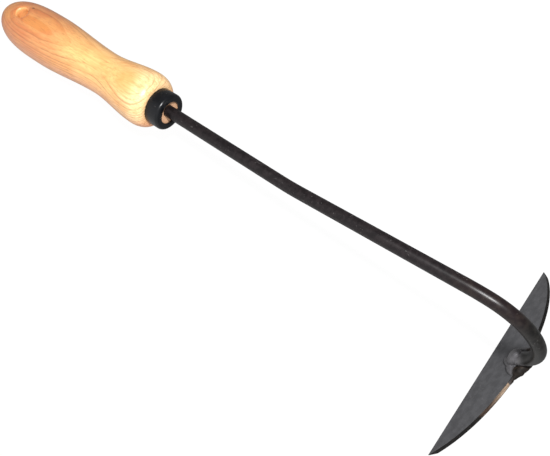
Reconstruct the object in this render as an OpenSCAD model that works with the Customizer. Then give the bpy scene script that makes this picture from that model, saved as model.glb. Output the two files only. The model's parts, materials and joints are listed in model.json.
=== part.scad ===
// Half moon hoe with a short handle.
// A turned ash handle carries a round steel shaft. The shaft is cranked once, then bends over in a
// swan neck and comes down on the back of a half moon blade, where it is welded.
// The hoe lies as it does on a table: on the blade's cutting edge and the palm end of the handle.
// X runs from the handle to the blade, Y is across, Z is up, and the hoe is the same on both sides of Y = 0.

/* [Handle] */
// Length from the front of the ferrule to the rounded end
handle_len = 160; // [150:1:172]
// Diameter of the palm swell, the fullest part near the end
palm_d = 36.8; // [35:0.1:39]
// Distance of the palm swell from the front of the ferrule
palm_at = 112; // [104:0.5:118]
// Diameter of the waist, where the fingers close
waist_d = 29.8; // [27:0.1:32]
// Distance of the waist from the front of the ferrule
waist_at = 58; // [50:0.5:64]
// Diameter of the knuckle swell behind the ferrule
knuckle_d = 37.4; // [35:0.1:39]
// Distance of the knuckle swell from the front of the ferrule
knuckle_at = 21.5; // [20:0.5:27]

/* [Hanging hole] */
// Diameter of the hanging hole
hang_d = 8; // [6:0.1:10]
// Distance of the hanging hole from the rounded end
hang_from_end = 26.5; // [22:0.5:34]
// Radius of the rounding on both rims of the hanging hole
hang_rim = 2; // [1:0.1:2.6]

/* [Ferrule] */
// Outer diameter of the ferrule
ferrule_d = 24.8; // [23:0.1:27]
// Length of the ferrule
ferrule_len = 10.8; // [9:0.1:14]
// Wall of the ferrule
ferrule_wall = 1.5; // [1.2:0.05:1.8]
// Diameter of the opening in the ferrule's turned-in front
ferrule_open_d = 15.2; // [14:0.1:17]
// Radius of the rounded front edge of the ferrule
ferrule_round = 2.2; // [1.6:0.1:2.6]
// Play between the ferrule and the wood
ferrule_play = 0.05; // [0.02:0.01:0.15]

/* [Shaft] */
// Diameter of the round shaft
shaft_d = 8; // [7:0.1:9]
// Length of the tang inside the handle, from the front of the ferrule
tang_len = 80; // [60:1:92]
// Length of the point that the tang ends in
tang_point = 10; // [6:0.5:16]
// Diameter of the flat tip of the tang's point
tang_tip_d = 3; // [2:0.1:4.5]
// Height of the shaft above the handle's axis at the front of the ferrule
shaft_rise = 1.6; // [0:0.1:2]
// Angle at which the shaft leaves the handle, downwards
shaft_set = 2; // [0:0.1:2.6]
// Play between the tang and its bore, filled by glue
tang_play = 0.05; // [0.02:0.01:0.15]
// Length of the shaft from the front of the ferrule to the crank
rear_len = 88.5; // [70:0.1:110]
// Centre line radius of the crank
crank_r = 96; // [60:1:120]
// Angle of the crank, which lifts the front half of the shaft
crank_angle = 8.6; // [4:0.1:12]
// Length of the shaft from the crank to the neck
front_len = 107.6; // [90:0.1:130]
// Centre line radius of the first, slack part of the neck
slack_r = 96.5; // [70:0.5:120]
// Angle that the slack part of the neck turns
slack_angle = 5.8; // [3:0.1:12]
// Centre line radius of the neck
neck_r = 36.1; // [30:0.1:44]
// Straight length after the neck, down to the shaft's cut end
drop_len = 14.7; // [12:0.1:20]

/* [Blade] */
// Width of the blade along its straight cutting edge
blade_w = 140; // [120:1:160]
// Depth of the blade from the cutting edge to the top of the curve
blade_h = 34.4; // [32:0.1:42]
// Thickness of the blade
blade_t = 2.2; // [1.8:0.1:3]
// Angle between the blade and the handle's axis
blade_angle = 65.5; // [55:0.1:80]
// Width of the bevel ground on the front of the blade along the cutting edge
bevel_w = 4.5; // [3:0.1:7]
// Thickness left at the cutting edge
edge_t = 0.3; // [0.2:0.05:0.6]
// Length of the shaft that laps over the blade
lap = 8.8; // [7:0.1:12]
// Depth of the flat filed on the shaft where it laps over the blade
lap_flat = 0.9; // [0.4:0.05:1.2]
// Length of the wedge that the shaft's end is ground to
wedge_len = 13; // [11:0.1:14]
// Thickness of the wedge at the shaft's cut end
wedge_tip = 1.2; // [0.8:0.1:2.4]

/* [Weld] */
// Half width of the weld puddle on the back of the blade
puddle_r = 7; // [6.4:0.1:8.5]
// Height of the weld puddle above the back of the blade
puddle_h = 3; // [2.6:0.1:3.4]
// Number of overlapping rounds that the weld puddle is made of
puddles = 4; // [3:1:6]
// Radius of the edge bead next to the shaft
bead_r = 3.1; // [2.6:0.05:3.4]
// Radius of the edge bead where it runs out
bead_end_r = 1.7; // [1.5:0.05:2.2]
// Distance across the blade at which the edge bead runs out
bead_reach = 14; // [11:0.5:18]
// Number of ripples in the edge bead on each side of the shaft
ripples = 6; // [5:1:8]

/* [Hidden] */
$fn = 96;
eps = 0.01;
// The bends are a hair thinner than the straights and reach a little way into them
hair = 0.02;
reach_in = 0.2;
// Short straight between the slack part of the neck and the neck
neck_join = 2;
// Gap left between the weld puddle and the edge beads
weld_gap = 0.3;
shaft_r = shaft_d/2;
palm_r = palm_d/2;
waist_r = waist_d/2;
knuckle_r = knuckle_d/2;
ferrule_r = ferrule_d/2;
// Wood inside the ferrule, and the round shoulder behind it
spigot_r = ferrule_r - ferrule_wall - ferrule_play;
shoulder_r = ferrule_r + 0.4;
shoulder_at = ferrule_len + ferrule_play;
// Radius of the whole circle that the half moon is cut from
moon_r = (blade_w*blade_w/4 + blade_h*blade_h)/(2*blade_h);

// Radius of the turned wood at a distance x behind the front of the ferrule
function blend(t) = t*t*(3 - 2*t);
function swell(x) =
    x < knuckle_at ? shoulder_r + (knuckle_r - shoulder_r)
        * sqrt(max(0, 1 - pow((knuckle_at - x)/(knuckle_at - shoulder_at), 2))) :
    x < waist_at ? waist_r + (knuckle_r - waist_r)*blend((waist_at - x)/(waist_at - knuckle_at)) :
    x < palm_at ? waist_r + (palm_r - waist_r)*blend((x - waist_at)/(palm_at - waist_at)) :
    palm_r*sqrt(max(0, 1 - pow((x - palm_at)/(handle_len - palm_at), 3.2)));

// Outline of the turned wood as [distance behind the ferrule's front, radius]
body_steps = 30;
shoulder_steps = 8;
end_steps = 16;
outline = concat(
    [for (i = [0:shoulder_steps - 1])
        let (x = knuckle_at - (knuckle_at - shoulder_at)*cos(90*i/shoulder_steps)) [x, swell(x)]],
    [for (i = [0:body_steps - 1])
        let (x = knuckle_at + (palm_at - knuckle_at)*i/body_steps) [x, swell(x)]],
    [for (i = [0:end_steps])
        let (x = palm_at + (handle_len - palm_at)*sin(90*i/end_steps)) [x, swell(x)]]);

// Places along the shaft's centre line as [x, z, angle downwards] in the handle's own frame
function ahead(p, len) = [p[0] + len*cos(p[2]), p[1] - len*sin(p[2]), p[2]];
function bent(p, r, angle) = let (s = sign(angle), q = p[2] + angle) [
    p[0] - s*r*sin(p[2]) + s*r*sin(q),
    p[1] - s*r*cos(p[2]) + s*r*cos(q),
    q];
neck_angle = 180 - blade_angle - (shaft_set - crank_angle + slack_angle);
at_front = [0, shaft_rise, shaft_set];
at_tip = ahead(at_front, -tang_len);
at_crank = ahead(at_front, rear_len);
past_crank = bent(at_crank, crank_r, -crank_angle);
at_slack = ahead(past_crank, front_len);
past_slack = bent(at_slack, slack_r, slack_angle);
at_neck = ahead(past_slack, neck_join);
past_neck = bent(at_neck, neck_r, neck_angle);
at_end = ahead(past_neck, drop_len);

// Corners of the cutting edge, seen from the side
edge_down = blade_h - lap;
face_off = shaft_r - lap_flat;
function on_blade(down, out) = [
    at_end[0] + down*cos(at_end[2]) + out*sin(at_end[2]),
    at_end[1] - down*sin(at_end[2]) + out*cos(at_end[2])];
edge_corners = [on_blade(edge_down, face_off), on_blade(edge_down, face_off + edge_t)];

// Tilt at which the palm swell and the cutting edge touch the same table
function wood_low(t) = min([for (p = outline) -p[0]*sin(t) - p[1]*cos(t)]);
function edge_low(t) = min([for (c = edge_corners) c[0]*sin(t) + c[1]*cos(t)]);
function even_tilt(lo, hi, steps) = let (mid = (lo + hi)/2)
    steps == 0 ? mid :
    edge_low(mid) < wood_low(mid) ? even_tilt(mid, hi, steps - 1) : even_tilt(lo, mid, steps - 1);
tilt = even_tilt(0, 40, 40);
lift = -wood_low(tilt);
// Middle of the hoe's length, measured along the table
neck_x = at_neck[0] - neck_r*sin(at_neck[2]);
neck_z = at_neck[1] - neck_r*cos(at_neck[2]);
reach_front = neck_x*cos(tilt) - neck_z*sin(tilt) + neck_r + shaft_r;
reach_back = min([for (p = outline) -p[0]*cos(tilt) - p[1]*sin(tilt)]);
middle = (reach_front + reach_back)/2;

// Puts the handle's own frame, with its axis along X, on the table
module on_table() {
    translate([-middle, 0, lift]) rotate([0, -tilt, 0]) children();
}

// Local frame at a place on the shaft: X runs on along the shaft
module at(p) {
    translate([p[0], 0, p[1]]) rotate([0, p[2], 0]) children();
}

// Local frame on the back of the blade: X runs down to the cutting edge at 0, Z points out of its front
module at_blade() {
    at(at_end) translate([edge_down, 0, face_off]) children();
}

module straight(p, len) {
    at(p) rotate([0, 90, 0]) cylinder(r = shaft_r, h = len);
}

// One bend of the shaft, downwards where the angle is positive
module elbow(p, r, angle) {
    s = sign(angle);
    over = reach_in/r*180/PI;
    at(p) translate([0, 0, -s*r]) rotate([s*90, 0, 0]) rotate([0, 0, 90 - over - abs(angle)])
        rotate_extrude(angle = abs(angle) + 2*over) translate([r, 0]) circle(r = shaft_r - hair);
}

// A point followed by a straight bar, along X, that the tang and its bore are both made from
module tang_bar(grow, len) {
    rotate([0, 90, 0]) {
        cylinder(r1 = tang_tip_d/2 + grow, r2 = shaft_r + grow, h = tang_point);
        translate([0, 0, tang_point]) cylinder(r = shaft_r + grow, h = len - tang_point);
    }
}

// Tool that cuts the hanging hole with a rounded rim at one end
module rim_cutter(surface) {
    translate([0, 0, surface - hang_rim]) rotate_extrude() difference() {
        square([hang_d/2 + hang_rim, 2*hang_rim]);
        translate([hang_d/2 + hang_rim, 0]) circle(r = hang_rim);
    }
}

module handle() {
    hang_at = handle_len - hang_from_end;
    surface = swell(hang_at);
    color("burlywood") on_table() difference() {
        rotate([0, -90, 0]) union() {
            rotate_extrude() polygon(concat([[0, shoulder_at]],
                [for (p = outline) [p[1], p[0]]]));
            translate([0, 0, ferrule_wall + ferrule_play])
                cylinder(r = spigot_r, h = shoulder_at + 1);
        }
        at(ahead(at_tip, -tang_play)) tang_bar(tang_play, tang_len + 2*tang_play);
        translate([-hang_at, 0, 0]) {
            translate([0, 0, -palm_d]) cylinder(r = hang_d/2, h = 2*palm_d);
            for (side = [0, 1]) mirror([0, 0, side]) rim_cutter(surface);
        }
    }
}

module ferrule() {
    in_r = ferrule_r - ferrule_wall;
    lip_r = ferrule_wall/2;
    color("dimgray") on_table() rotate([0, -90, 0]) rotate_extrude() {
        translate([in_r, ferrule_round]) square([ferrule_wall, ferrule_len - ferrule_round]);
        difference() {
            union() {
                translate([ferrule_open_d/2 + lip_r, 0])
                    square([ferrule_r - ferrule_round - ferrule_open_d/2 - lip_r + eps, ferrule_wall]);
                translate([ferrule_open_d/2 + lip_r, lip_r]) circle(r = lip_r);
                intersection() {
                    translate([ferrule_r - ferrule_round, ferrule_round]) circle(r = ferrule_round);
                    translate([ferrule_r - ferrule_round, 0]) square(ferrule_round);
                }
            }
            translate([0, ferrule_wall]) square([in_r, ferrule_len]);
        }
    }
}

// Tool that grinds the shaft's end to a wedge, on the side away from the blade
module wedge_cutter() {
    over = 0.4;
    slope = (face_off + shaft_r - wedge_tip)/wedge_len;
    at_blade() translate([-edge_down, shaft_d, 0]) rotate([90, 0, 0])
        linear_extrude(height = 2*shaft_d) polygon([
            [-wedge_len - over/slope, -face_off - shaft_r - over],
            [over, over*slope - wedge_tip],
            [over, -face_off - shaft_r - over]]);
}

module shaft() {
    color("#3a3430") on_table() difference() {
        union() {
            at(at_tip) tang_bar(0, tang_len + rear_len);
            elbow(at_crank, crank_r, -crank_angle);
            straight(past_crank, front_len);
            elbow(at_slack, slack_r, slack_angle);
            straight(past_slack, neck_join);
            elbow(at_neck, neck_r, neck_angle);
            straight(past_neck, drop_len);
        }
        at_blade() translate([-blade_h - lap_flat, -shaft_r, 0])
            cube([lap + 2*lap_flat, shaft_d, shaft_d]);
        wedge_cutter();
    }
}

// The half moon seen square on, with the middle of its straight edge at the origin
module half_moon() {
    intersection() {
        translate([moon_r - blade_h, 0]) circle(r = moon_r, $fn = 180);
        translate([-blade_h, -blade_w/2]) square([blade_h, blade_w]);
    }
}

module blade() {
    color("#55565a") on_table() at_blade() difference() {
        linear_extrude(height = blade_t) half_moon();
        translate([0, blade_w, 0]) rotate([90, 0, 0]) linear_extrude(height = 2*blade_w)
            polygon([[eps, edge_t], [eps, blade_t + eps], [-bevel_w, blade_t + eps], [-bevel_w, blade_t],
                [0, edge_t]]);
    }
}

// Low mound of overlapping rounds over the shaft's end, on the back of the blade, with their poles along it
module mound() {
    ball_r = (puddle_r*puddle_r + puddle_h*puddle_h)/(2*puddle_h);
    at_blade() intersection() {
        for (i = [0:puddles - 1]) translate([-edge_down - lap*i/(puddles - 1), 0, ball_r - puddle_h])
            rotate([0, 90, 0]) sphere(r = ball_r);
        translate([bead_r + weld_gap - blade_h, -puddle_r, -puddle_h - 1])
            cube([blade_h, 2*puddle_r, puddle_h + 1]);
    }
}

module weld_puddle() {
    color("#4a4a4e") on_table() difference() {
        mound();
        difference() {
            straight(past_neck, drop_len + eps);
            wedge_cutter();
        }
    }
}

// Rippled beads that run out from the shaft along the top edge of the blade
module edge_beads() {
    first = shaft_r*0.6;
    color("#3c342e") on_table() difference() {
        at_blade() for (side = [-1, 1], i = [0:ripples - 1])
            let (t = i/(ripples - 1), y = first + (bead_reach - bead_end_r - first)*t,
                x = moon_r - blade_h - sqrt(moon_r*moon_r - y*y))
            translate([x, side*y, blade_t/2]) sphere(r = bead_r + (bead_end_r - bead_r)*t, $fn = 12);
        at_blade() linear_extrude(height = blade_t) half_moon();
        straight(past_neck, drop_len);
    }
}

handle();
ferrule();
shaft();
blade();
weld_puddle();
edge_beads();
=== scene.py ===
# %% [markdown]
# The half moon hoe, piece by piece
#
# This lesson dresses a small hand hoe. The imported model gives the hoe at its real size, and Blender gives
# each piece its finish. The real hoe has a turned ash handle, a black ferrule, a bent round steel shaft,
# a half moon blade and the weld that joins the last two.

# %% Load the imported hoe
import json
from math import atan, atan2, cos, degrees, pi, radians, sin, sqrt

import bpy
from mathutils import Matrix, Vector


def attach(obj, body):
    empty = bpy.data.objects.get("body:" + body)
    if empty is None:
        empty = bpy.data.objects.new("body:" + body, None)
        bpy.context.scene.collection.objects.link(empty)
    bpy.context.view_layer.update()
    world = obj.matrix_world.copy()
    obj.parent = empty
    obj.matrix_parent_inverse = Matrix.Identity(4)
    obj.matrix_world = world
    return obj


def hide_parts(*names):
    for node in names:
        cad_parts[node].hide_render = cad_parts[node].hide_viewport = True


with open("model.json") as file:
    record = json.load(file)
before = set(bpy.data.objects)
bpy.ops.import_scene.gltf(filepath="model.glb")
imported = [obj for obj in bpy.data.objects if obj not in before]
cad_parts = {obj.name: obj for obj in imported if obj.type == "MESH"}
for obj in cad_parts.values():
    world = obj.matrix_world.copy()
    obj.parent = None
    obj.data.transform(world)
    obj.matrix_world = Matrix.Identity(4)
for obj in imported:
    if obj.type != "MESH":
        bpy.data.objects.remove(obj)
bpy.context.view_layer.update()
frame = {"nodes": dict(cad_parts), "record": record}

MM = 0.001
print("pieces in the packed model:", sorted(frame["nodes"]))

# %% [markdown]
# The handle's own frame
#
# The hoe lies tilted on the table, on its cutting edge and the palm end of the handle. A turner and a
# smith think along the handle instead, so every piece is modelled in the handle's own frame. There X runs
# along the handle to the front, Z is up and the origin is the middle of the ferrule's front. The hanging
# hole is drilled square to the handle, and the record says where it is, so the hole gives the tilt and
# the origin.

# %% From the handle's frame to the table
hang = frame["record"]["mounts"][0]
hole_up = Vector(hang["axis"]).normalized()
handle_ahead = Vector((hole_up.z, 0, -hole_up.x))
handle_len, hang_from_end = 160 * MM, 26.5 * MM
ferrule_front = Vector(hang["pos_m"]) + handle_ahead * (handle_len - hang_from_end)
tilt = atan2(handle_ahead.z, handle_ahead.x)
on_table = Matrix.Translation(ferrule_front) @ Matrix.Rotation(-tilt, 4, "Y")
print(f"tilt {degrees(tilt):.2f} degrees, ferrule's front at", [round(c / MM, 2) for c in ferrule_front])

# %% [markdown]
# The camera
#
# The photographer stood at the blade's end, a little to the side of -Y, and looked down steeply. Blender's
# camera looks along its own -Z, so three angles and a place say all of it.

# %% Camera
camera_at = (0.1198, -0.1199, 0.3917)
camera_turn = [radians(a) for a in (19.02, -0.23, 36.98)]
bpy.ops.object.camera_add(location=camera_at, rotation=camera_turn)
camera = bpy.context.object
camera.name = "camera"
camera.data.sensor_width = 36
camera.data.lens = 40.77
camera.data.clip_start = 0.01
bpy.context.scene.camera = camera
print("camera at", [round(c, 3) for c in camera.location])

# %% [markdown]
# Tools for finishes
#
# Every finish is a small web of nodes that reads the object's own coordinates, so it stays in place on
# the piece. These helpers add one node each and join it to what feeds it.

# %% Helpers for nodes
def colour_of(*rgb):
    """A colour as the shader wants it, with its alpha."""
    return (*rgb, 1.0)


def new_material(name):
    """A material with a Principled shader; returns the material and the shader."""
    material = bpy.data.materials.new(name)
    material.use_nodes = True
    return material, material.node_tree.nodes["Principled BSDF"]


def feed(made, inputs):
    """Feeds each input of a node with a number, a colour or another node's output."""
    for socket, value in inputs.items():
        if isinstance(value, bpy.types.NodeSocket):
            made.id_data.links.new(value, made.inputs[socket])
        else:
            made.inputs[socket].default_value = value


def node(tree, kind, inputs=None, **settings):
    """Adds a node to a tree, sets it and feeds it."""
    made = tree.nodes.new(kind)
    for name, value in settings.items():
        setattr(made, name, value)
    feed(made, inputs or {})
    return made


def maths(tree, operation, a, b=0.5, c=0.5):
    """The result of one calculation."""
    inputs = {0: a, 1: b, 2: c} if operation == "MULTIPLY_ADD" else {0: a, 1: b}
    return node(tree, "ShaderNodeMath", inputs, operation=operation).outputs[0]

# %% [markdown]
# Tools for patterns
#
# A finish is drawn with a few brushes: noise for what is uneven, steps for where something starts and stops,
# and mixes that lay one colour over another. The places that the steps use are in millimetres.

# %% Helpers for patterns
def noise(tree, where, scale, detail=2.0, rough=0.5):
    """Soft noise from 0 to 1, most of it near 0.5."""
    inputs = {"Vector": where, "Scale": scale, "Detail": detail, "Roughness": rough}
    return node(tree, "ShaderNodeTexNoise", inputs).outputs["Fac"]


def noise_along(tree, value, scale, detail=1.0):
    """Soft noise that changes along one number only."""
    inputs = {"W": value, "Scale": scale, "Detail": detail}
    return node(tree, "ShaderNodeTexNoise", inputs, noise_dimensions="1D").outputs["Fac"]


def stretched(tree, where, scale):
    """The same coordinates, finer or coarser along each axis."""
    return node(tree, "ShaderNodeMapping", {"Vector": where, "Scale": scale}).outputs[0]


def split(tree, place):
    """The three numbers of a place."""
    return node(tree, "ShaderNodeSeparateXYZ", {"Vector": place}).outputs


def distance(tree, place, centre):
    """How far a place is from a point."""
    return node(tree, "ShaderNodeVectorMath", {0: place, 1: centre}, operation="DISTANCE").outputs["Value"]


def stepped(tree, value, start, stop, low=0.0, high=1.0):
    """Takes a value smoothly from low to high between start and stop."""
    inputs = {"Value": value, "From Min": start, "From Max": stop, "To Min": low, "To Max": high}
    return node(tree, "ShaderNodeMapRange", inputs, interpolation_type="SMOOTHSTEP").outputs[0]


def mixed(tree, amount, a, b, blend="MIX"):
    """Two colours mixed by an amount."""
    inputs = {0: amount, 6: a, 7: b}
    return node(tree, "ShaderNodeMix", inputs, data_type="RGBA", blend_type=blend).outputs[2]


def ramp(tree, value, stops):
    """A colour ramp through grey stops of (place, brightness)."""
    made = node(tree, "ShaderNodeValToRGB", {"Fac": value})
    points = made.color_ramp.elements
    while len(points) < len(stops):
        points.new(0.5)
    for point, (place, grey) in zip(points, stops):
        point.position, point.color = place, colour_of(grey, grey, grey)
    return made.outputs["Color"]


def place_in(tree, frame_matrix):
    """Coordinates in millimetres in a frame of its own, such as the handle's."""
    own = node(tree, "ShaderNodeTexCoord").outputs["Object"]
    inputs = {"Vector": own, "Location": frame_matrix.to_translation(), "Rotation": frame_matrix.to_euler(),
              "Scale": (MM, MM, MM)}
    return node(tree, "ShaderNodeMapping", inputs, vector_type="TEXTURE").outputs[0]

# %% [markdown]
# Table and light
#
# The photograph has a bare white ground with hardly a shadow, so the hoe lies on a light table, a sheet
# that glows white. A dim white surround lights the hoe from all sides, more from the side of -Y. The
# highlights on the handle's shoulder and on the shaft both point straight up, so one lamp hangs over the
# hoe. The lacquer shows no white table in the photograph, so the sheet is kept out of reflections.

# %% Table, surround and lamp
bpy.context.scene.view_settings.view_transform = "Standard"
white = colour_of(1, 1, 1)
world = bpy.data.worlds.new("light tent")
world.use_nodes = True
sky = world.node_tree
across = split(sky, node(sky, "ShaderNodeTexCoord").outputs["Generated"])["Y"]
brightness = stepped(sky, across, 0.1, -0.9, low=0.3, high=1.0)
feed(sky.nodes["Background"], {"Color": white, "Strength": brightness})
bpy.context.scene.world = world

bpy.ops.object.select_all(action="DESELECT")
table_size, table_drop = 6, 0.0002
bpy.ops.mesh.primitive_plane_add(size=table_size, location=(0, 0, -table_drop))
table = bpy.context.object
table.name = "table"
table_white, shader = new_material("table white")
feed(shader, {"Base Color": colour_of(0.02, 0.02, 0.02), "Roughness": 0.9,
              "Emission Color": white, "Emission Strength": 0.97})
table.data.materials.append(table_white)
table.visible_glossy = False

lamp_at = Vector((0.11, -0.06, 0.62))
bpy.ops.object.light_add(type="AREA", location=lamp_at)
lamp = bpy.context.object
lamp.name = "overhead lamp"
lamp.data.shape = "DISK"
lamp.data.size = 0.07
lamp.data.energy = 6.8
print("lamp", lamp.data.energy, "W at", [round(c, 3) for c in lamp_at])

# %% [markdown]
# Working in edit mode
#
# An operator acts on all that is selected. These helpers deselect everything first, and then pick points
# or faces by their place, as a modeller does with the mouse.

# %% Helpers for selecting
def deselect_all():
    """Leaves edit mode and deselects every object."""
    if bpy.context.object and bpy.context.object.mode != "OBJECT":
        bpy.ops.object.mode_set(mode="OBJECT")
    bpy.ops.object.select_all(action="DESELECT")


def select_only(piece):
    """Makes one piece the only selected object and the active one."""
    deselect_all()
    piece.select_set(True)
    bpy.context.view_layer.objects.active = piece


def start_edit(piece):
    """Opens one piece in edit mode with nothing selected."""
    select_only(piece)
    bpy.ops.object.mode_set(mode="EDIT")
    bpy.ops.mesh.select_all(action="DESELECT")


def pick(piece, wanted, kind="VERT"):
    """Selects the points or faces whose middle passes the test, and nothing else."""
    bpy.ops.mesh.select_mode(type=kind)
    bpy.ops.mesh.select_all(action="DESELECT")
    bpy.ops.object.mode_set(mode="OBJECT")
    parts, middle = (piece.data.vertices, "co") if kind == "VERT" else (piece.data.polygons, "center")
    count = 0
    for part in parts:
        part.select = wanted(getattr(part, middle))
        count += part.select
    bpy.ops.object.mode_set(mode="EDIT")
    return count

# %% [markdown]
# Cutting and setting down
#
# A tool shape is cut out of a piece by a Boolean modifier that is applied at once. A finished piece is turned
# and moved from its own frame to the table, and its place is taken into its mesh, so that the object itself
# stays at the origin and the finish stays where it was drawn.

# %% Helpers for finishing a mesh
def apply_all(piece):
    """Applies every modifier of a piece, in order."""
    select_only(piece)
    for name in [m.name for m in piece.modifiers]:
        bpy.ops.object.modifier_apply(modifier=name)


def cut_away(piece, cutter):
    """Cuts one mesh out of another and removes the cutter."""
    boolean = piece.modifiers.new("cut", "BOOLEAN")
    boolean.operation = "DIFFERENCE"
    boolean.solver = "EXACT"
    boolean.object = cutter
    apply_all(piece)
    bpy.data.objects.remove(cutter)


def apply_place(piece, place):
    """Puts a piece in its place and takes the place into its mesh."""
    select_only(piece)
    piece.matrix_world = place
    bpy.ops.object.transform_apply(location=True, rotation=True, scale=True)


def set_down(piece, place, sharp):
    """Moves a finished piece from its own frame to the table; edges past the sharp angle stay crisp."""
    apply_place(piece, place)
    bpy.ops.object.shade_smooth_by_angle(angle=radians(sharp))
    print(piece.name, "has", len(piece.data.polygons), "faces")

# %% [markdown]
# Turning a shape
#
# A lathe makes a shape from one outline. The outline starts as a single point, which is pulled along it
# step by step, and Spin then carries it once round the handle's axis. Spin can leave the shape inside
# out, so its seam is merged and its normals are recalculated.

# %% The lathe
merge_gap = 0.001 * MM


def turned(name, outline, sides=128, closed=False):
    """Spins an outline of (distance along X, radius) points round the X axis."""
    deselect_all()
    bpy.ops.mesh.primitive_plane_add(size=MM)
    piece = bpy.context.object
    piece.name = name
    bpy.ops.object.mode_set(mode="EDIT")
    bpy.ops.mesh.select_mode(type="VERT")
    bpy.ops.mesh.select_all(action="SELECT")
    bpy.ops.mesh.merge(type="CENTER")
    x, r = outline[0]
    bpy.ops.transform.translate(value=(x, 0, r))
    ring = list(outline[1:]) + ([outline[0]] if closed else [])
    for next_x, next_r in ring:
        bpy.ops.mesh.extrude_region_move(TRANSFORM_OT_translate={"value": (next_x - x, 0, next_r - r)})
        x, r = next_x, next_r
    bpy.ops.mesh.select_all(action="SELECT")
    bpy.ops.mesh.remove_doubles(threshold=merge_gap)
    bpy.ops.mesh.spin(steps=sides, angle=2 * pi, center=(0, 0, 0), axis=(1, 0, 0))
    bpy.ops.mesh.select_all(action="SELECT")
    bpy.ops.mesh.remove_doubles(threshold=merge_gap)
    bpy.ops.mesh.normals_make_consistent(inside=False)
    bpy.ops.object.mode_set(mode="OBJECT")
    return piece

# %% [markdown]
# The handle's outline
#
# The handle swells at the palm, draws in at the waist for the fingers, swells again behind the ferrule
# and ends in a round shoulder. Each swell runs into the next with no corner, so the outline is an eased
# curve between a few radii that a turner would take with callipers.

# %% The outline
ferrule_r, ferrule_len, ferrule_wall, play = 12.4 * MM, 10.8 * MM, 1.5 * MM, 0.05 * MM
knuckle_at, knuckle_r = 21.5 * MM, 18.7 * MM
waist_at, waist_r = 58 * MM, 14.9 * MM
palm_at, palm_r, end_blunt = 112 * MM, 18.4 * MM, 3.2
shoulder_at, shoulder_r = ferrule_len + play, ferrule_r + 0.4 * MM
spigot_r = ferrule_r - ferrule_wall - play


def eased(t):
    """A soft start and a soft stop between 0 and 1."""
    return t * t * (3 - 2 * t)


def swell(back):
    """Radius of the turned wood at a distance behind the ferrule's front."""
    if back < knuckle_at:
        t = (knuckle_at - back) / (knuckle_at - shoulder_at)
        return shoulder_r + (knuckle_r - shoulder_r) * sqrt(max(0, 1 - t * t))
    if back < waist_at:
        return waist_r + (knuckle_r - waist_r) * eased((waist_at - back) / (waist_at - knuckle_at))
    if back < palm_at:
        return waist_r + (palm_r - waist_r) * eased((back - waist_at) / (palm_at - waist_at))
    t = (back - palm_at) / (handle_len - palm_at)
    return palm_r * sqrt(max(0, 1 - t ** end_blunt))


shoulder_steps, body_steps, end_steps = 14, 60, 28
stations = [knuckle_at - (knuckle_at - shoulder_at) * cos(i / shoulder_steps * pi / 2)
            for i in range(shoulder_steps)]
stations += [knuckle_at + (palm_at - knuckle_at) * i / body_steps for i in range(body_steps)]
stations += [palm_at + (handle_len - palm_at) * sin(i / end_steps * pi / 2) for i in range(end_steps)]
wood_outline = [(0, 0), (0, spigot_r), (-shoulder_at, spigot_r)]
wood_outline += [(-s, swell(s)) for s in stations] + [(-handle_len, 0)]
print("handle outline has", len(wood_outline), "points")

# %% [markdown]
# The shaft's line
#
# The smith bends the bar three times: up a little in front of the handle, down slackly, and then right
# over in the swan neck. Its line is kept as places, each with the direction that the bar has there, so
# that each straight or bend starts where the last one ended.

# %% The shaft's places
shaft_r, tang_len, tang_point, tang_tip_r = 4 * MM, 80 * MM, 10 * MM, 1.5 * MM
blade_lean = radians(65.5)


def ahead(place, length):
    """The place a straight length further on."""
    x, z, down = place
    return (x + length * cos(down), z - length * sin(down), down)


def bend_centre(place, radius, angle):
    """The point that a bend turns round; a positive angle bends downwards."""
    x, z, down = place
    side = 1 if angle > 0 else -1
    return (x - side * radius * sin(down), z - side * radius * cos(down))


def bent(place, radius, angle):
    """The place at the end of a bend."""
    x, z = bend_centre(place, radius, angle)
    side = 1 if angle > 0 else -1
    down = place[2] + angle
    return (x + side * radius * sin(down), z + side * radius * cos(down), down)


crank, slack = (96 * MM, -radians(8.6)), (96.5 * MM, radians(5.8))
shaft_set = radians(2)
neck = (36.1 * MM, pi - blade_lean - (shaft_set + crank[1] + slack[1]))
rear_len, front_len, neck_join, drop_len = 88.5 * MM, 107.6 * MM, 2 * MM, 14.7 * MM
at_front = (0, 1.6 * MM, shaft_set)
at_tip = ahead(at_front, -tang_len)
at_crank = ahead(at_front, rear_len)
at_slack = ahead(bent(at_crank, *crank), front_len)
at_neck = ahead(bent(at_slack, *slack), neck_join)
at_end = ahead(bent(at_neck, *neck), drop_len)
print("the shaft ends at", [round(c / MM, 2) for c in at_end[:2]],
      "pointing down", round(degrees(at_end[2]), 1))

# %% [markdown]
# Bending the bar
#
# A ring of points is pulled along the bar for a straight, and spun about a centre for a bend. The same
# function also makes the tool that bores the handle for the tang, a hair wider than the tang itself.

# %% The bar
def pull(place, length, scale=1.0):
    """Extrudes the selected ring straight on and scales its new end."""
    down = place[2]
    step = (length * cos(down), 0, -length * sin(down))
    bpy.ops.mesh.extrude_region_move(TRANSFORM_OT_translate={"value": step})
    if scale != 1.0:
        end = ahead(place, length)
        bpy.ops.transform.resize(value=(scale,) * 3, center_override=(end[0], 0, end[1]))


def spin_bend(place, radius, angle, steps):
    """Carries the selected ring round a bend."""
    x, z = bend_centre(place, radius, angle)
    bpy.ops.mesh.spin(steps=steps, angle=-angle, center=(x, 0, z), axis=(0, 1, 0))


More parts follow.
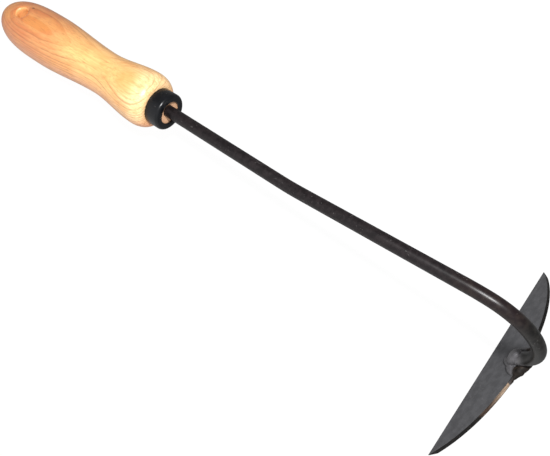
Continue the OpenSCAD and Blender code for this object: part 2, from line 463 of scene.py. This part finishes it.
def start_ring(name, place, radius, sides=64):
    """A ring of points square to the bar at a place."""
    deselect_all()
    bpy.ops.mesh.primitive_circle_add(vertices=sides, radius=radius)
    ring = bpy.context.object
    ring.name = name
    square_on = Matrix.Rotation(place[2] + pi / 2, 4, "Y")
    apply_place(ring, Matrix.Translation((place[0], 0, place[1])) @ square_on)
    bpy.ops.object.mode_set(mode="EDIT")
    bpy.ops.mesh.select_mode(type="VERT")
    bpy.ops.mesh.select_all(action="SELECT")
    return ring


def cap_both_ends():
    """Closes the open rings of the tube in edit mode and turns its faces outwards."""
    bpy.ops.mesh.select_all(action="DESELECT")
    bpy.ops.mesh.select_non_manifold()
    bpy.ops.mesh.edge_face_add()
    bpy.ops.mesh.select_all(action="SELECT")
    bpy.ops.mesh.fill_holes(sides=0)
    bpy.ops.mesh.remove_doubles(threshold=merge_gap)
    bpy.ops.mesh.normals_make_consistent(inside=False)
    bpy.ops.object.mode_set(mode="OBJECT")


def tang(name, grow, length):
    """The pointed tang and the straight bar in front of it, as an open tube."""
    tip = ahead(at_tip, -grow)
    bar = start_ring(name, tip, tang_tip_r + grow)
    pull(tip, tang_point, (shaft_r + grow) / (tang_tip_r + grow))
    pull(ahead(tip, tang_point), length - tang_point)
    return bar

# %% [markdown]
# The handle
#
# The handle is turned on the lathe. Then it is drilled for the hanging hole, and a cone at each end of
# the hole countersinks its rim. Each tool is a plain shape that is cut out of the wood.

# %% Turn, drill and countersink the handle
handle = turned("turned_handle", wood_outline)
hang_at, hang_r, hang_rim = -(handle_len - hang_from_end), 4 * MM, 2 * MM
hole_sides, drill_len, hole_top = 64, 60 * MM, swell(-hang_at)
deselect_all()
bpy.ops.mesh.primitive_cylinder_add(vertices=hole_sides, radius=hang_r, depth=drill_len,
                                    location=(hang_at, 0, 0))
cut_away(handle, bpy.context.object)
sink_low, sink_high = hole_top - hang_rim, hole_top + MM
sink_r = hang_r + sink_high - sink_low
for up, lower_r, upper_r in ((1, hang_r, sink_r), (-1, sink_r, hang_r)):
    deselect_all()
    bpy.ops.mesh.primitive_cone_add(vertices=hole_sides, radius1=lower_r, radius2=upper_r,
                                    depth=sink_high - sink_low,
                                    location=(hang_at, 0, up * (sink_low + sink_high) / 2))
    cut_away(handle, bpy.context.object)
print(f"the hanging hole is {2 * hang_r / MM:.0f} mm across")

# %% [markdown]
# Sanding
#
# Sanding rounds the countersunk rims. The turned and drilled shape is remeshed into small even squares,
# and the Smooth operator then works on the rims as sandpaper does.

# %% Sand the handle
square, rim_reach, rim_depth = 0.51 * MM, 1.8 * hang_rim, 2.4 * hang_rim
fine = handle.modifiers.new("even squares", "REMESH")
fine.mode = "VOXEL"
fine.voxel_size = square
sanded = handle.modifiers.new("sanded", "SMOOTH")
sanded.factor, sanded.iterations = 0.5, 4
apply_all(handle)


def near_rim(p):
    """True close to either rim of the hanging hole."""
    from_hole = sqrt((p.x - hang_at) ** 2 + p.y ** 2)
    return from_hole < hang_r + rim_reach and abs(p.z) > hole_top - rim_depth


start_edit(handle)
print("points round the rims:", pick(handle, near_rim))
bpy.ops.mesh.vertices_smooth(factor=0.5, repeat=14)

# %% [markdown]
# The front face and the bore
#
# These are cut after the sanding, so they stay crisp. The face is a bisect whose front is thrown away and
# whose cut is filled. The bore is the tang itself, grown by the play that glue and a driven fit need.

# %% Face the handle and bore it for the tang
spigot_face, bore_past = -(ferrule_wall + play), 2 * MM
bpy.ops.mesh.select_all(action="SELECT")
bpy.ops.mesh.bisect(plane_co=(spigot_face, 0, 0), plane_no=(1, 0, 0), clear_outer=True, use_fill=True)
bpy.ops.object.mode_set(mode="OBJECT")
bore = tang("bore", play, tang_len + bore_past)
cap_both_ends()
cut_away(handle, bore)
set_down(handle, on_table, sharp=50)

# %% [markdown]
# The ferrule
#
# The ferrule is a steel cap ring pressed over the spigot. Its front edge is rounded over and turned in,
# which keeps the wood from splitting. Its wall is one closed outline, spun like the handle.

# %% Spin the ferrule
def arc(centre, radius, start, stop, steps):
    """Points round an arc, from one angle to another in degrees."""
    turns = [radians(start + (stop - start) * i / steps) for i in range(steps + 1)]
    return [(centre[0] + radius * cos(a), centre[1] + radius * sin(a)) for a in turns]


open_r, front_round, lip_r, rear_round = 7.6 * MM, 2.2 * MM, 0.75 * MM, 0.25 * MM
ring_outline = arc((-ferrule_len + rear_round, ferrule_r - rear_round), rear_round, 180, 90, 4)
ring_outline += arc((-front_round, ferrule_r - front_round), front_round, 90, 0, 12)
ring_outline += arc((-lip_r, open_r + lip_r), lip_r, 0, -180, 12)
ring_outline += [(-ferrule_wall, ferrule_r - ferrule_wall), (-ferrule_len, ferrule_r - ferrule_wall)]
ferrule = turned("ferrule_ring", ring_outline, closed=True)
set_down(ferrule, on_table, sharp=40)

# %% [markdown]
# The shaft
#
# The bar is pulled and bent along its places, from the point of the tang to the cut end. The neck turns
# most, so it takes the most steps.

# %% Pull and bend the shaft
crank_steps, slack_steps, neck_steps = 10, 8, 60
shaft = tang("steel_shaft", 0, tang_len + rear_len)
spin_bend(at_crank, *crank, crank_steps)
pull(bent(at_crank, *crank), front_len)
spin_bend(at_slack, *slack, slack_steps)
pull(bent(at_slack, *slack), neck_join)
spin_bend(at_neck, *neck, neck_steps)
pull(bent(at_neck, *neck), drop_len)
cap_both_ends()
print("the bar has", len(shaft.data.vertices), "points")

# %% [markdown]
# The shaft's end
#
# Where the bar laps over the blade it is filed flat, so a block the size of the lap is cut from it. A
# second block, laid at a slant on the other side, grinds the end to a wedge that the weld can flow over.
# Both are placed in the blade's own frame, where X runs down the blade from the cutting edge, Y across it
# and Z out of its front, so the shaft's end lies at a negative X.

# %% File the lap and grind the wedge
lap, lap_flat, blade_h, blade_w, blade_t = 8.8 * MM, 0.9 * MM, 34.4 * MM, 140 * MM, 2.2 * MM
wedge_len, wedge_tip, grind_over, grind_past = 13 * MM, 1.2 * MM, 0.9 * MM, 0.4 * MM
edge_down, face_off = blade_h - lap, shaft_r - lap_flat
at_blade = (Matrix.Translation((at_end[0], 0, at_end[1])) @ Matrix.Rotation(at_end[2], 4, "Y")
            @ Matrix.Translation((edge_down, 0, face_off)))


def block(place, length):
    """A block wider than the bar, set at a place."""
    deselect_all()
    bpy.ops.mesh.primitive_cube_add(size=1)
    made = bpy.context.object
    made.matrix_world = place @ Matrix.Diagonal((length, 4 * shaft_r, 2 * shaft_r, 1))
    return made


at_lap = at_blade @ Matrix.Translation((-edge_down - lap / 2, 0, shaft_r))
cut_away(shaft, block(at_lap, lap + 2 * lap_flat))
slant = atan((face_off + shaft_r - wedge_tip) / wedge_len)
grind_len = wedge_len / cos(slant) + grind_over
at_slant = (at_blade @ Matrix.Translation((-edge_down, 0, -wedge_tip)) @ Matrix.Rotation(-slant, 4, "Y")
            @ Matrix.Translation((grind_past - grind_len / 2, 0, -shaft_r)))
cut_away(shaft, block(at_slant, grind_len))
print(f"the end is ground at {degrees(slant):.1f} degrees")
set_down(shaft, on_table, sharp=40)

# %% [markdown]
# The blade
#
# The half moon is cut from a round of plate. A disc is sliced along the cutting edge, and a second slice
# at a slant grinds the bevel on its front. The rim of the disc is the cut edge, which gets a finish of
# its own.

# %% Slice and grind the blade
moon_r = (blade_w ** 2 / 4 + blade_h ** 2) / (2 * blade_h)
moon_sides, bevel_w, edge_t, sliver = 360, 4.5 * MM, 0.3 * MM, 0.01 * MM
deselect_all()
bpy.ops.mesh.primitive_cylinder_add(vertices=moon_sides, radius=moon_r, depth=blade_t,
                                    location=(moon_r - blade_h, 0, blade_t / 2))
blade = bpy.context.object
blade.name = "half_moon_blade"
bpy.ops.object.transform_apply(location=True, rotation=True, scale=True)
start_edit(blade)
bpy.ops.mesh.select_all(action="SELECT")
bpy.ops.mesh.bisect(plane_co=(0, 0, 0), plane_no=(1, 0, 0), clear_outer=True, use_fill=True)
bpy.ops.mesh.select_all(action="SELECT")
bevel_out = Vector((blade_t - edge_t, 0, bevel_w)).normalized()
bpy.ops.mesh.bisect(plane_co=(0, 0, edge_t), plane_no=bevel_out, clear_outer=True, use_fill=True)
bpy.ops.mesh.select_all(action="SELECT")
bpy.ops.mesh.remove_doubles(threshold=sliver)
print(f"the half moon is cut from a disc of {2 * moon_r / MM:.1f} mm")

# %% [markdown]
# The cut edge
#
# A piece can hold more than one material, each in a slot of its own. The faces on the disc's rim are
# picked by their place and given the second slot, and the rest of the blade stays in the first.

# %% Give the cut edge its own slot
rim_near, above_edge = 0.05 * MM, 0.2 * MM


def on_rim(p):
    """True on the disc's rim, away from the cutting edge."""
    from_centre = sqrt((p.x - moon_r + blade_h) ** 2 + p.y ** 2)
    return abs(from_centre - moon_r) < rim_near and p.x < -above_edge


print("faces on the cut edge:", pick(blade, on_rim, "FACE"))
blade.data.materials.append(None)
blade.data.materials.append(None)
blade.active_material_index = 1
bpy.ops.object.material_slot_assign()
set_down(blade, on_table @ at_blade, sharp=30)

# %% [markdown]
# The weld
#
# The smith lays two kinds of weld: a mound that buries the shaft's end on the back of the blade, and a
# bead on the blade's top edge beside the shaft, rippled like stacked coins. Both start as lumps in the
# blade's frame, in millimetres. The mound's lumps are given one by one, a large one over the shaft's end and
# smaller ones beside it.

# %% Set the lumps of the mound
def lump(place, size, turn=0.0, lean=0.0):
    """One rounded lump, turned about the blade's Z and leaned about its Y."""
    deselect_all()
    bpy.ops.mesh.primitive_ico_sphere_add(subdivisions=4, radius=1)
    made = bpy.context.object
    apply_place(made, Matrix.Translation([c * MM for c in place]) @ Matrix.Rotation(turn, 4, "Z")
                @ Matrix.Rotation(lean, 4, "Y") @ Matrix.Diagonal([s * MM for s in size] + [1]))
    return made


lumps = [lump((-32.4, 0, -4), (9, 5, 3.4), lean=-0.48),
         lump((-28, 0, 0), (6.4, 5.6, 4)),
         lump((-28.8, 6.2, 0), (6.4, 1.7, 2.7), turn=-0.37),
         lump((-23.2, -1.6, 0), (5.8, 2.2, 2.8), turn=0.52),
         lump((-29.5, -5.8, 0), (6, 2.8, 2.8), turn=0.6),
         lump((-33, -6.5, 0), (3, 3, 2.2))]
print("lumps in the mound:", len(lumps))

# %% [markdown]
# The bead
#
# The bead runs out from the neck both ways along the top edge. It is thick beside the neck, thins out to
# its ends, and a small wave in its size gives the ripples. Under the neck it sits further out and nearer
# the blade's front, where there is room for it.

# %% Lay the bead
bead_steps, bead_start, bead_len = 11, 0.4, 13.4
thick_share, thinning_share = 0.25, 0.62
thin_r, thick_more, neck_less, neck_reach = 1.1, 1.9, 0.3, 4.2
ripple, ripple_turn, side_turn = 0.15, 2.4, 2
bead_out, bead_ahead, neck_ahead = 1.2, 0.2, 1.2
mid_plate = blade_t / MM / 2


def top_edge(y):
    """X of the blade's curved edge at a distance across, in millimetres."""
    return (moon_r - blade_h) / MM - sqrt((moon_r / MM) ** 2 - y * y)


for side in (-1, 1):
    for i in range(bead_steps):
        t = i / (bead_steps - 1)
        y = bead_start + bead_len * t
        full = 0.5 + 0.5 * cos(pi * min(1, max(0, (t - thick_share) / thinning_share)))
        under_neck = max(0, 1 - y / neck_reach)
        wave = ripple * sin(ripple_turn * i + side_turn * side)
        r = thin_r + (thick_more - neck_less * under_neck) * full + wave
        x = top_edge(y) - bead_out * full - under_neck
        z = mid_plate + bead_ahead + neck_ahead * under_neck
        lumps.append(lump((x, side * y, z), (r, r, r)))
print("lumps with the bead:", len(lumps))

# %% [markdown]
# Drawing the metal together
#
# The lumps are joined, remeshed into one skin and smoothed, the way molten metal draws itself together.

# %% Join and smooth the weld
weld_square = 0.28 * MM
deselect_all()
for made in lumps:
    made.select_set(True)
bpy.context.view_layer.objects.active = lumps[0]
bpy.ops.object.join()
weld = bpy.context.object
weld.name = "weld_metal"
one_skin = weld.modifiers.new("one skin", "REMESH")
one_skin.mode = "VOXEL"
one_skin.voxel_size = weld_square
drawn = weld.modifiers.new("drawn together", "SMOOTH")
drawn.factor, drawn.iterations = 0.5, 9
apply_all(weld)
apply_place(weld, on_table @ at_blade)
bpy.ops.object.shade_smooth()
print(weld.name, "has", len(weld.data.polygons), "faces")

# %% [markdown]
# The growth rings of ash
#
# The blank was sawn so that the growth rings lie nearly flat in it. A turned surface cuts flat rings into
# contour lines, which close into loops on the swells and run long and close together down the sides. So
# the rings are drawn from the height in the blank, bent and shifted a little, with a sharp thin line
# where each spring's growth starts. On top the lines are faint, except close to the ferrule.

# %% Growth rings
ring_gap, bow_r = 1.7, 110
spring_line = [(0.0, 0.6), (0.05, 1.0), (0.14, 0.6), (0.28, 0.12), (0.7, 0.0), (0.96, 0.12), (1.0, 0.55)]


def ring_lines(tree, place, x, y, z):
    """Thin dark growth lines from 0 to 1, and the shade inside each ring."""
    slow = noise(tree, stretched(tree, place, (0.011, 0.05, 0.05)), 1.0, 2.0)
    bow = maths(tree, "MULTIPLY", maths(tree, "MULTIPLY", y, y), 1 / bow_r)
    depth = maths(tree, "ADD", maths(tree, "ADD", z, bow), maths(tree, "MULTIPLY", slow, 6.0))
    uneven = maths(tree, "MULTIPLY", noise_along(tree, depth, 0.33), 2.2)
    ring = maths(tree, "FRACT", maths(tree, "MULTIPLY", maths(tree, "ADD", depth, uneven), 1 / ring_gap))
    line = ramp(tree, ring, spring_line)
    strong = stepped(tree, noise_along(tree, depth, 0.7), 0.38, 0.62, 0.3, 1.0)
    slope = maths(tree, "DIVIDE", maths(tree, "ABSOLUTE", y), maths(tree, "MAXIMUM", z, 1.0))
    shown = maths(tree, "MAXIMUM", stepped(tree, slope, 0.25, 0.8, 0.12, 1.0), stepped(tree, x, -21, -15))
    strong = maths(tree, "MULTIPLY", strong, shown)
    broken = stepped(tree, noise(tree, stretched(tree, place, (0.05, 0.3, 0.3)), 1.0), 0.3, 0.6, 0.45, 1.0)
    return maths(tree, "MULTIPLY", line, maths(tree, "MULTIPLY", strong, broken)), ring


ash, shader = new_material("lacquered ash")
tree = ash.node_tree
place = place_in(tree, on_table)
x, y, z = split(tree, place)
line, ring = ring_lines(tree, place, x, y, z)
print("one growth ring is", ring_gap, "mm thick")

# %% [markdown]
# The colour of ash
#
# Fresh ash under lacquer is honey yellow. This handle turns orange at the palm end. Its low sides are made a
# redder brown, which is painted shade with the pale reflections there, and the top near the ferrule is made a
# paler yellow, which is a painted highlight. The lines, fibres and pores are then laid over it, the last two
# as noise stretched along the handle.

# %% Ash colours
honey, orange = colour_of(0.80, 0.46, 0.17), colour_of(0.53, 0.155, 0.05)
painted_shade_tan, painted_highlight_cream, amber = colour_of(0.78, 0.35, 0.19), colour_of(0.90, 0.66, 0.36), colour_of(0.66, 0.30, 0.08)
summer, spring = colour_of(0.86, 0.55, 0.25), colour_of(0.22, 0.095, 0.04)
fibre_brown, pore_brown = colour_of(0.50, 0.20, 0.06), colour_of(0.26, 0.11, 0.04)
palm_span, side_span, ferrule_span, upper_span = (-54, -124), (12, -5), (-42, -16), (-8, 6)

fibre = noise(tree, stretched(tree, place, (0.035, 1.1, 1.1)), 1.0, 4.0, 0.6)
pores = stepped(tree, noise(tree, stretched(tree, place, (0.2, 2.8, 2.8)), 1.0, 1.0), 0.58, 0.66)
patch = noise(tree, stretched(tree, place, (0.05, 0.09, 0.09)), 1.0, 2.0)
palm = maths(tree, "ADD", stepped(tree, x, *palm_span), maths(tree, "MULTIPLY_ADD", patch, 1.2, -0.6))
# Painted shade: the low sides of the handle are darkened to a redder brown.
painted_low_shade = stepped(tree, z, *side_span, high=0.95)
# Painted highlight: the top of the shoulder near the ferrule is lightened.
painted_shoulder_highlight = stepped(tree, x, *ferrule_span, high=0.75)
painted_shoulder_highlight = maths(tree, "MULTIPLY", painted_shoulder_highlight, stepped(tree, z, *upper_span))
colour = mixed(tree, palm, honey, orange)
colour = mixed(tree, painted_low_shade, colour, painted_shade_tan)
colour = mixed(tree, painted_shoulder_highlight, colour, painted_highlight_cream)
colour = mixed(tree, stepped(tree, patch, 0.5, 0.68, high=0.55), colour, amber)
colour = mixed(tree, stepped(tree, ring, 0.1, 0.95, high=0.18), colour, summer)
colour = mixed(tree, maths(tree, "MULTIPLY", line, 0.92), colour, spring)
colour = mixed(tree, stepped(tree, fibre, 0.35, 0.7, high=0.42), colour, fibre_brown)
colour = mixed(tree, maths(tree, "MULTIPLY", pores, 0.42), colour, pore_brown)
print("ash has", len(tree.nodes), "nodes so far")

# %% [markdown]
# Marks in the wood
#
# Four places differ from the rest: a darker heart where the top loop closes, a paler wall and rim in the
# hanging hole, which is painted light, a small knot beside it, and the end grain inside the ferrule, which
# has no lacquer.

# %% Heart, rim, knot and end grain
heart_at, knot_at = (-29, -3, 17), (-128.6, 6.6, 16.2)
heart_span, knot_span, rim_span, dry_span = (19, 9), (2.4, 1.3), (5.2, 4.3), (-2.4, -2.0)
heart_brown, knot_brown = colour_of(0.66, 0.29, 0.075), colour_of(0.10, 0.035, 0.02)
hole_painted_light = colour_of(0.90, 0.45, 0.17)

from_heart = maths(tree, "MULTIPLY_ADD", patch, 12, distance(tree, place, heart_at))
colour = mixed(tree, stepped(tree, from_heart, *heart_span, high=0.6), colour, heart_brown)
# Painted light: in and round the hanging hole the wood is made paler.
across_hole = node(tree, "ShaderNodeCombineXYZ", {0: x, 1: y}).outputs[0]
from_hole = distance(tree, across_hole, (hang_at / MM, 0, 0))
colour = mixed(tree, stepped(tree, from_hole, *rim_span, high=0.7), colour, hole_painted_light)
from_knot = maths(tree, "MULTIPLY_ADD", fibre, 1.4, distance(tree, place, knot_at))
colour = mixed(tree, stepped(tree, from_knot, *knot_span, high=0.85), colour, knot_brown)
end_grain = stepped(tree, x, *dry_span)
end_colour = mixed(tree, pores, colour_of(0.58, 0.34, 0.2), colour_of(0.38, 0.2, 0.11))
colour = mixed(tree, end_grain, colour, end_colour)
print("the knot is at", knot_at, "mm")

# %% [markdown]
# The lacquer on the ash
#
# The lacquer is a clear coat over the wood. The dark lines are a little duller, the pores dent the
# surface, and the end grain is left dry and dull.

# %% Ash gloss and relief
dull = maths(tree, "MULTIPLY_ADD", line, 0.12, 0.36)
dents = maths(tree, "MULTIPLY_ADD", line, 0.35, pores)
grain = maths(tree, "SUBTRACT", maths(tree, "MULTIPLY", fibre, 0.5), dents)
bump = node(tree, "ShaderNodeBump", {"Height": grain, "Strength": 0.35, "Distance": 0.06 * MM})
feed(shader, {"Base Color": colour, "Normal": bump.outputs[0],
              "Roughness": maths(tree, "MAXIMUM", dull, maths(tree, "MULTIPLY", end_grain, 0.8)),
              "Coat Weight": maths(tree, "MULTIPLY_ADD", end_grain, -0.75, 0.8),
              "Coat Roughness": 0.36, "Specular IOR Level": 0.15})
print("ash has", len(tree.nodes), "nodes")

# %% [markdown]
# Lacquered steel
#
# The ferrule, the shaft, the blade and the weld are all steel under a clear or black lacquer. They share
# one group of nodes: a cloudy change between two colours, a fine grain, and thin scuffs that are lighter
# and duller. Each material sets its own colours and strengths.

# %% The shared steel group
steel = bpy.data.node_groups.new("lacquered steel", "ShaderNodeTree")
for name, kind, value in (("Steel", "NodeSocketColor", colour_of(0.05, 0.05, 0.05)),
                          ("Bloom", "NodeSocketColor", colour_of(0.08, 0.07, 0.06)),
                          ("Cloud Size", "NodeSocketFloat", 6.0), ("Rough", "NodeSocketFloat", 0.3),
                          ("Scuffs", "NodeSocketFloat", 0.3)):
    steel.interface.new_socket(name, in_out="INPUT", socket_type=kind).default_value = value
for name, kind in (("Color", "NodeSocketColor"), ("Roughness", "NodeSocketFloat"),
                   ("Height", "NodeSocketFloat")):
    steel.interface.new_socket(name, in_out="OUTPUT", socket_type=kind)
given = node(steel, "NodeGroupInput").outputs
millimetres = stretched(steel, node(steel, "ShaderNodeTexCoord").outputs["Object"], (1 / MM,) * 3)
clouds = noise(steel, millimetres, maths(steel, "DIVIDE", 1.0, given["Cloud Size"]), 3.0, 0.55)
speckle = noise(steel, millimetres, 2.2, 3.0, 0.6)
strokes = noise(steel, stretched(steel, millimetres, (0.5, 1.3, 2.4)), 0.9, 1.0)
thin = noise(steel, millimetres, 0.16, 1.0)
scuff = maths(steel, "MULTIPLY", stepped(steel, strokes, 0.66, 0.72), stepped(steel, thin, 0.52, 0.64))
scuff = maths(steel, "MULTIPLY", scuff, given["Scuffs"])
surface = mixed(steel, stepped(steel, clouds, 0.36, 0.66), given["Steel"], given["Bloom"])
shade, scuffed = colour_of(0.6, 0.6, 0.6), colour_of(0.30, 0.29, 0.28)
surface = mixed(steel, stepped(steel, speckle, 0.3, 0.7, 0.0, 0.35), surface, shade, "MULTIPLY")
surface = mixed(steel, scuff, surface, scuffed)
rough = maths(steel, "MULTIPLY_ADD", clouds, 0.14, maths(steel, "SUBTRACT", given["Rough"], 0.07))
wear = maths(steel, "MULTIPLY_ADD", scuff, 0.25, rough)
relief = maths(steel, "MULTIPLY_ADD", clouds, 0.6, maths(steel, "MULTIPLY", speckle, 0.25))
node(steel, "NodeGroupOutput", {"Color": surface, "Roughness": wear, "Height": relief})
print("the steel group has", len(steel.nodes), "nodes")

# %% [markdown]
# A material round the group
#
# The group gives a colour, a roughness and a height. The shader and the Bump node stay in each material, and
# gloss is how strongly its lacquer reflects.

# %% Helper for steel materials
def steel_material(name, cloud, rough, bump, gloss, scuffs=0.0):
    """A material round the shared group; returns it and the group, which still needs its two colours."""
    material, shader = new_material(name)
    tree = material.node_tree
    strengths = {"Cloud Size": cloud, "Rough": rough, "Scuffs": scuffs}
    group = node(tree, "ShaderNodeGroup", strengths, node_tree=steel)
    relief = {"Height": group.outputs["Height"], "Strength": 0.5, "Distance": bump * MM}
    feed(shader, {"Base Color": group.outputs["Color"], "Roughness": group.outputs["Roughness"],
                  "Normal": node(tree, "ShaderNodeBump", relief).outputs[0], "Specular IOR Level": gloss})
    return material, group

# %% [markdown]
# The ferrule's finish
#
# The ferrule is black and glossy, so both of its colours are close to black and only a few scuffs show.

# %% Black lacquer
black, group = steel_material("black lacquer", cloud=9, rough=0.28, bump=0.05, gloss=0.26, scuffs=0.25)
feed(group, {"Steel": colour_of(0.003, 0.0035, 0.0045), "Bloom": colour_of(0.005, 0.0055, 0.007)})
print("made", black.name)

# %% [markdown]
# The shaft's finish
#
# The shaft keeps the dark skin of hot forging under its lacquer. It turns reddish brown and then grey
# black along the neck, and its very end is pale grey, where the weld heated it. The first two changes
# follow the handle's X and the last the blade's own X. Far back the bar comes to the same blade's X
# again, so the pale grey is also kept to the front of the hoe.

# %% Dark steel
brown_span, grey_span, front_span, end_span = (196, 214), (236, 250), (226, 236), (-47, -37)
forge_skin, forge_bloom = colour_of(0.006, 0.0044, 0.005), colour_of(0.012, 0.0088, 0.0095)
brown_skin, brown_bloom = colour_of(0.0085, 0.005, 0.0056), colour_of(0.0145, 0.0095, 0.0085)
grey_skin, grey_bloom = colour_of(0.005, 0.0048, 0.0045), colour_of(0.012, 0.011, 0.01)
end_skin, end_bloom = colour_of(0.085, 0.082, 0.086), colour_of(0.12, 0.116, 0.122)

dark_steel, group = steel_material("dark steel", cloud=3, rough=0.35, bump=0.035, gloss=0.24, scuffs=0.15)
tree = dark_steel.node_tree
x = split(tree, place_in(tree, on_table))["X"]
down_blade = split(tree, place_in(tree, on_table @ at_blade))["X"]
brown, grey = stepped(tree, x, *brown_span), stepped(tree, x, *grey_span)
near_weld = stepped(tree, down_blade, *end_span)
near_weld = maths(tree, "MULTIPLY", near_weld, stepped(tree, x, *front_span))
skin = mixed(tree, grey, mixed(tree, brown, forge_skin, brown_skin), grey_skin)
bloom = mixed(tree, grey, mixed(tree, brown, forge_bloom, brown_bloom), grey_bloom)
feed(group, {"Steel": mixed(tree, near_weld, skin, end_skin),
             "Bloom": mixed(tree, near_weld, bloom, end_bloom)})
print("made", dark_steel.name)

# %% [markdown]
# The blade's finish
#
# The blade is satin grey plate, with faint clouds and hardly any gloss.

# %% Plate grey
plate_grey, group = steel_material("plate grey", cloud=5, rough=0.42, bump=0.04, gloss=0.06, scuffs=0.3)
feed(group, {"Steel": colour_of(0.061, 0.061, 0.065), "Bloom": colour_of(0.079, 0.079, 0.084)})
print("made", plate_grey.name)

# %% [markdown]
# The cut edge's finish
#
# The cut edge is nearly black. Beside the weld a stretch of it has a bronze sheen, with fine strokes
# across it from the shears, and the sheen fades away from the weld. The sheen and its fade are a painted
# reflection; the strokes are shear marks. Y says where it starts and ends, and Z keeps it on the edge.

# %% Cut edge
start_span, stop_span, reflection_fade_span = (-13.8, -15), (-39.5, -36), (-19, -33)
low_span, high_span = (0.0, 0.1), (2.2, 2.0)
bare_skin, bare_bloom = colour_of(0.005, 0.0045, 0.0045), colour_of(0.009, 0.0078, 0.0072)
# Painted reflection: these bronze colours paint the sheen on the edge.
bright_reflection, faded_bright_reflection = colour_of(0.31, 0.228, 0.163), colour_of(0.055, 0.035, 0.025)
deep_reflection, faded_deep_reflection = colour_of(0.12, 0.084, 0.059), colour_of(0.02, 0.0135, 0.0105)

cut_edge, group = steel_material("cut edge", cloud=3, rough=0.4, bump=0.08, gloss=0.12)
tree = cut_edge.node_tree
place = place_in(tree, on_table @ at_blade)
_, y, z = split(tree, place)
along = maths(tree, "MULTIPLY", stepped(tree, y, *stop_span), stepped(tree, y, *start_span))
on_edge = maths(tree, "MULTIPLY", stepped(tree, z, *low_span), stepped(tree, z, *high_span))
# This is where the painted reflection lies.
painted_sheen = maths(tree, "MULTIPLY", along, on_edge)
strokes = noise(tree, stretched(tree, place, (0.25, 0.12, 3.2)), 1.0, 3.0)
# The painted reflection fades along the edge.
reflection_fade = stepped(tree, y, *reflection_fade_span)
bright = mixed(tree, reflection_fade, bright_reflection, faded_bright_reflection)
deep = mixed(tree, reflection_fade, deep_reflection, faded_deep_reflection)
bronze = mixed(tree, stepped(tree, strokes, 0.38, 0.62), bright, deep)
feed(group, {"Steel": mixed(tree, painted_sheen, bare_skin, bronze),
             "Bloom": mixed(tree, painted_sheen, bare_bloom, bronze)})
print("the bronze part runs from y", start_span[0], "mm to y", stop_span[0], "mm")

# %% [markdown]
# The weld's finish
#
# Weld metal is grey where it flowed over the plate. The bead on the edge is burnt brown and black in
# spots, and burnt metal is rougher.

# %% Weld metal
weld_rough, burnt_more, burnt_up, burnt_front = 0.38, 0.26, (-33, -34.6), (-3.2, -2)
flow_grey, flow_bloom = colour_of(0.07, 0.068, 0.072), colour_of(0.1, 0.097, 0.103)
burn_black, burn_brown = colour_of(0.004, 0.0032, 0.0028), colour_of(0.022, 0.015, 0.011)
burn_bloom = colour_of(0.010, 0.0075, 0.0062)

weld_metal, group = steel_material("weld metal", cloud=2.5, rough=weld_rough, bump=0.02, gloss=0.14)
tree = weld_metal.node_tree
place = place_in(tree, on_table @ at_blade)
x, _, z = split(tree, place)
burnt = maths(tree, "MULTIPLY", stepped(tree, x, *burnt_up), stepped(tree, z, *burnt_front))
spots = stepped(tree, noise(tree, place, 0.42, 2.0), 0.42, 0.6)
burn = mixed(tree, spots, burn_black, burn_brown)
feed(group, {"Rough": maths(tree, "MULTIPLY_ADD", burnt, burnt_more, weld_rough),
             "Steel": mixed(tree, burnt, flow_grey, burn),
             "Bloom": mixed(tree, burnt, flow_bloom, burn_bloom)})
print("made", weld_metal.name)

# %% [markdown]
# Putting the finishes on
#
# Every piece gets one material, except the blade, whose two empty slots are filled here.

# %% Materials on pieces
handle.data.materials.append(ash)
ferrule.data.materials.append(black)
shaft.data.materials.append(dark_steel)
blade.data.materials[0] = plate_grey
blade.data.materials[1] = cut_edge
weld.data.materials.append(weld_metal)
print("materials:", [m.name for m in bpy.data.materials])

# %% [markdown]
# Handing the pieces over
#
# Each dressed piece rides on a body of the model. The hoe has no moving part, so all of them ride on
# root. A piece then takes the place of its plain solid, or of two solids in the weld's case, and these are
# hidden.

# %% Hand the pieces over
for piece, nodes_for, slot in ((handle, ["handle"], "ash_wood"), (ferrule, ["ferrule"], "ferrule_lacquer"),
                               (shaft, ["shaft"], "shaft_lacquer"), (blade, ["blade"], "blade_lacquer"),
                               (weld, ["weld_puddle", "edge_beads"], "weld_metal")):
    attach(piece, "root")
    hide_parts(*nodes_for)
    print(piece.name, "stands for", " and ".join(nodes_for))

# %% [markdown]
# The end
#
# The view layer is updated once more, so that every piece stands where it was put.

# %% Finish
bpy.context.view_layer.update()
